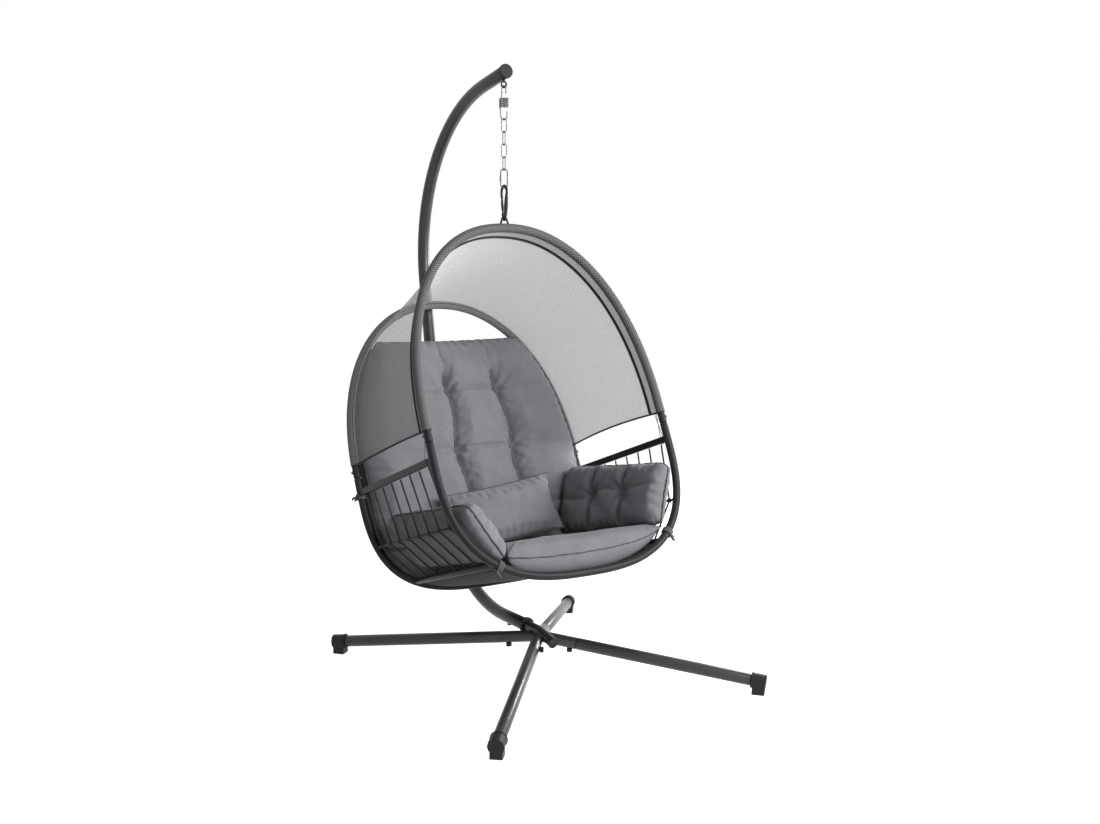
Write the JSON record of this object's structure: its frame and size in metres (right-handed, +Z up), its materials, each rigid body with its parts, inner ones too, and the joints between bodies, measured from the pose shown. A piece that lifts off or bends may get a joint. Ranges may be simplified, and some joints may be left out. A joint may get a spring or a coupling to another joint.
{
  "type": "hanging chair with stand",
  "caption": "Single hanging chair: cushioned basket of two leaning hoops with a mesh canopy, hung by spring, chain and snap hook from a bent pole on a crossed base.",
  "frame": {"origin": "on the floor, in the middle of the object's outline seen from above", "axes": "+Z up, -Y the way the sitter faces, +X to the right as the picture shows the chair's front"},
  "size_m": [0.9946, 1.3775, 1.9469],
  "materials": {
    "grey_paint": "satin grey powder coat",
    "dark_paint": "satin near-black powder coat",
    "black_plastic": "moulded black plastic",
    "black_steel": "black coated steel",
    "zinc": "bright zinc plated steel",
    "mesh_cloth": "coated open mesh cloth",
    "dark_cloth": "dark sling cloth",
    "cushion_cloth": "grey woven cushion cover over filling",
    "cord_black": "black braided cord"
  },
  "bodies": {
    "stand": {"base_hub": "grey_paint", "leg_front_left": "grey_paint", "leg_front_right": "grey_paint", "leg_back_left": "grey_paint", "leg_back_right": "grey_paint", "foot_front_left": "black_plastic", "foot_front_right": "black_plastic", "foot_back_left": "black_plastic", "foot_back_right": "black_plastic", "leg_knob_front_left": "black_plastic", "leg_knob_front_right": "black_plastic", "leg_knob_back_left": "black_plastic", "leg_knob_back_right": "black_plastic", "spigot_plug": "black_plastic", "pole_collar": "black_plastic", "pole_lower": "grey_paint", "pole_upper": "grey_paint", "pole_bolt": "black_plastic", "pole_end_cap": "black_plastic", "pole_eye": "black_steel"},
    "spring_upper": {"spring_upper_hook": "zinc", "spring_coil": "zinc"},
    "spring_lower": {"spring_lower_hook": "zinc"},
    "first_link": {"chain_link_1": "zinc"},
    "second_link": {"chain_link_2": "zinc"},
    "third_link": {"chain_link_3": "zinc"},
    "fourth_link": {"chain_link_4": "zinc"},
    "joining_link": {"quick_link": "zinc"},
    "joining_sleeve": {"quick_link_sleeve": "zinc"},
    "hook": {"snap_hook": "black_steel"},
    "gate": {"snap_hook_gate": "black_steel"},
    "basket": {"hoop_eye": "black_steel", "front_hoop_arch": "dark_paint", "front_hoop_base": "dark_paint", "back_hoop_arch": "dark_paint", "back_hoop_base": "dark_paint", "front_hoop_screw_left": "black_steel", "front_hoop_screw_right": "black_steel", "back_hoop_screw_left": "black_steel", "back_hoop_screw_right": "black_steel", "arm_bar_left": "dark_paint", "arm_bar_right": "dark_paint", "seat_rail_left": "dark_paint", "seat_rail_right": "dark_paint", "side_cords_left": "cord_black", "side_cords_right": "cord_black", "seat_sling": "dark_cloth", "back_sling": "mesh_cloth", "canopy": "mesh_cloth", "back_cushion": "cushion_cloth", "seat_cushion": "cushion_cloth", "arm_cushion_left": "cushion_cloth", "arm_cushion_right": "cushion_cloth", "lumbar_pillow": "cushion_cloth"}
  },
  "joints": [
    {"name": "swing_fore_aft", "type": "hinge", "parent": "stand", "child": "spring_upper", "pos_m": [0, 0.08565, 1.87388], "axis": [-1, 0, 0], "range_deg": [-1, 18]},
    {"name": "spring_bounce", "type": "slide", "parent": "spring_upper", "child": "spring_lower", "axis": [0, 0, -1], "range_m": [-0.004, 0.02], "stiffness_N_per_m": 10000, "springref_m": -0.0288, "deforming": ["spring_coil"]},
    {"name": "swing_side", "type": "hinge", "parent": "spring_lower", "child": "first_link", "pos_m": [0, 0.08565, 1.77193], "axis": [0, 1, 0], "range_deg": [-4.5, 4.5]},
    {"name": "chain_twist", "type": "hinge", "parent": "first_link", "child": "hook", "pos_m": [0, 0.08565, 1.5595], "axis": [0, 0, 1], "range_deg": [-12.5, 12.5], "stiffness_Nm_per_rad": 0.4},
    {"name": "second_link_twist", "type": "hinge", "parent": "first_link", "child": "second_link", "pos_m": [0, 0.08565, 1.735], "axis": [0, 0, 1], "range_deg": [-2.5, 2.5]},
    {"name": "third_link_twist", "type": "hinge", "parent": "first_link", "child": "third_link", "pos_m": [0, 0.08565, 1.695], "axis": [0, 0, 1], "range_deg": [-5, 5]},
    {"name": "fourth_link_twist", "type": "hinge", "parent": "first_link", "child": "fourth_link", "pos_m": [0, 0.08565, 1.655], "axis": [0, 0, 1], "range_deg": [-7.5, 7.5]},
    {"name": "joining_link_twist", "type": "hinge", "parent": "first_link", "child": "joining_link", "pos_m": [0, 0.08565, 1.6145], "axis": [0, 0, 1], "range_deg": [-10, 10]},
    {"name": "chair_tilt", "type": "hinge", "parent": "hook", "child": "basket", "pos_m": [0, 0.08565, 1.46278], "axis": [1, 0, 0], "range_deg": [-8, 1]},
    {"name": "gate_hinge", "type": "hinge", "parent": "hook", "child": "gate", "pos_m": [0.00114, 0.09654, 1.47922], "axis": [0.9945, -0.1045, 0], "range_deg": [0, 20], "stiffness_Nm_per_rad": 0.02, "springref_deg": -11.46},
    {"name": "sleeve_slide", "type": "slide", "parent": "joining_link", "child": "joining_sleeve", "axis": [0, 0, 1], "range_m": [0, 0.0098]}
  ],
  "couplings": [
    {"joint": "second_link_twist", "follows": "chain_twist", "ratio": 0.2},
    {"joint": "third_link_twist", "follows": "chain_twist", "ratio": 0.4},
    {"joint": "fourth_link_twist", "follows": "chain_twist", "ratio": 0.6},
    {"joint": "joining_link_twist", "follows": "chain_twist", "ratio": 0.8}
  ]
}
